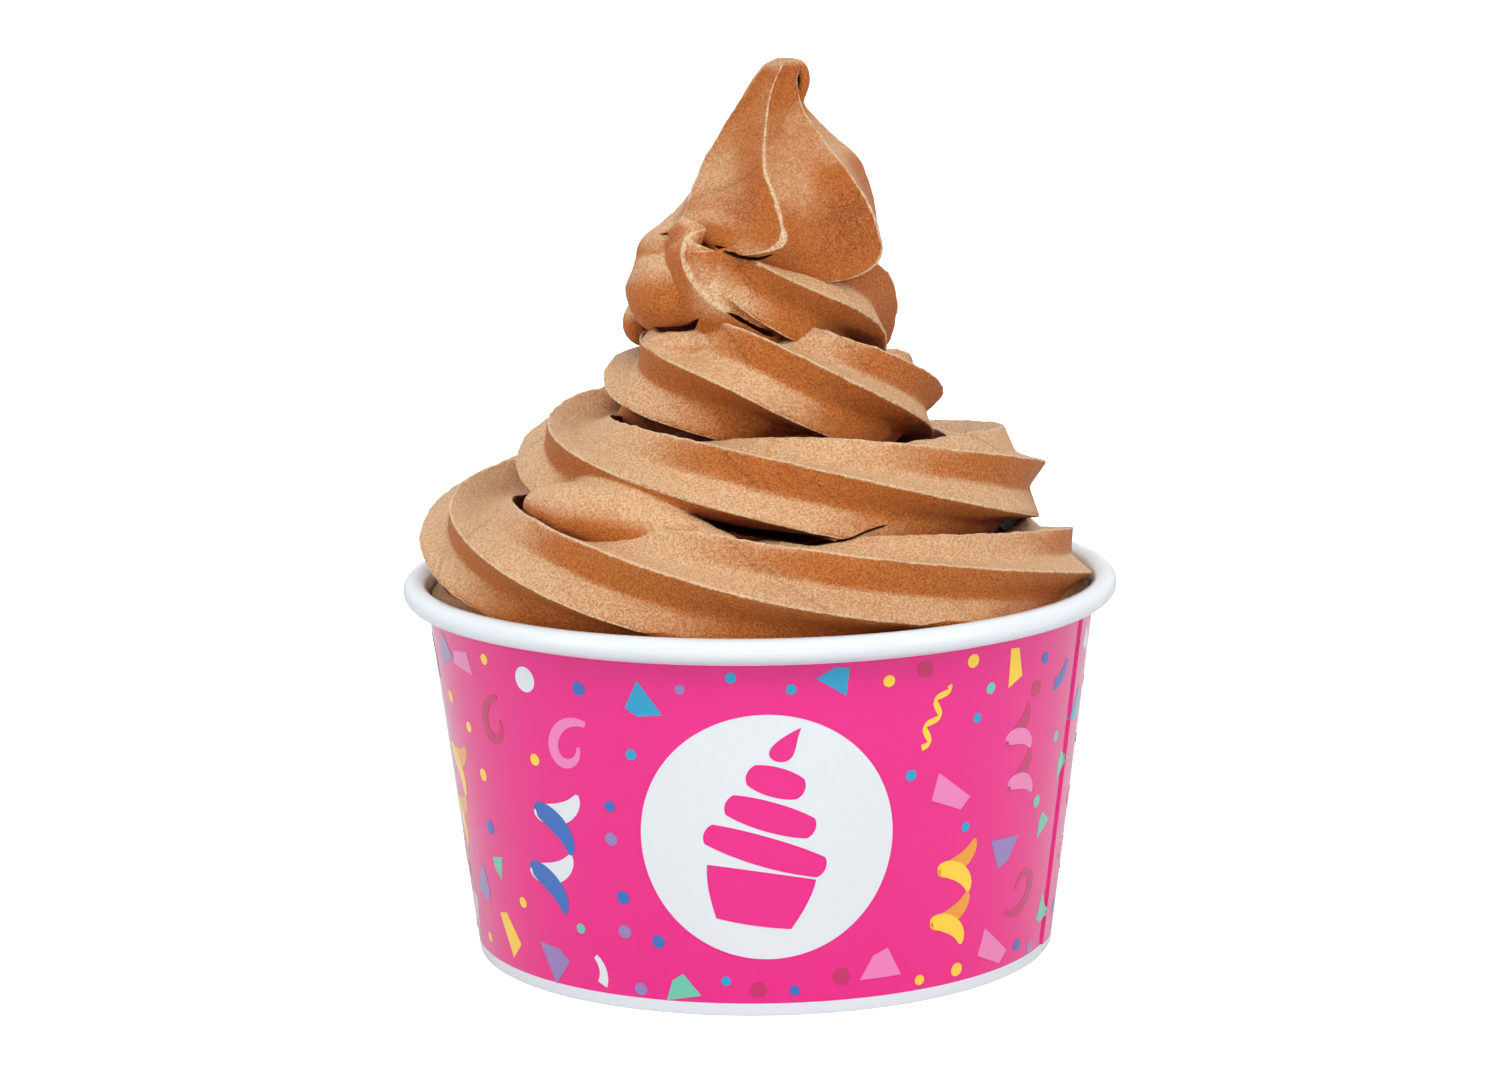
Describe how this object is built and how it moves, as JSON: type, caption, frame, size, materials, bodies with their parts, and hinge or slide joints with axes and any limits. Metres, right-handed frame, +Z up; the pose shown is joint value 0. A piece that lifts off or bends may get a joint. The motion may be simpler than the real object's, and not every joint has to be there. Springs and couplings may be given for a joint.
{
  "type": "frozen yogurt cup",
  "caption": "Round paper cup with a rolled rim and recessed base, filled past its rim with a piped, ridged swirl of chocolate-brown soft frozen yogurt that ends in a pulled peak.",
  "frame": {"origin": "on the surface the cup stands on, at the centre of its rim and foot", "axes": "+Z up along the cup's axis; -Y towards the shown face; +X to the right of someone facing that face"},
  "size_m": [0.112, 0.112, 0.1397],
  "materials": {
    "printed_paper": "glossy coated paper board, magenta print with confetti, white rolled rim",
    "white_paper": "plain white coated paper board",
    "frozen_yogurt": "soft brown frozen yogurt, fine icy grain, slight sheen"
  },
  "bodies": {
    "root": {"cup_wall": "printed_paper", "cup_base": "white_paper", "frozen_yogurt": "frozen_yogurt"}
  },
  "joints": []
}
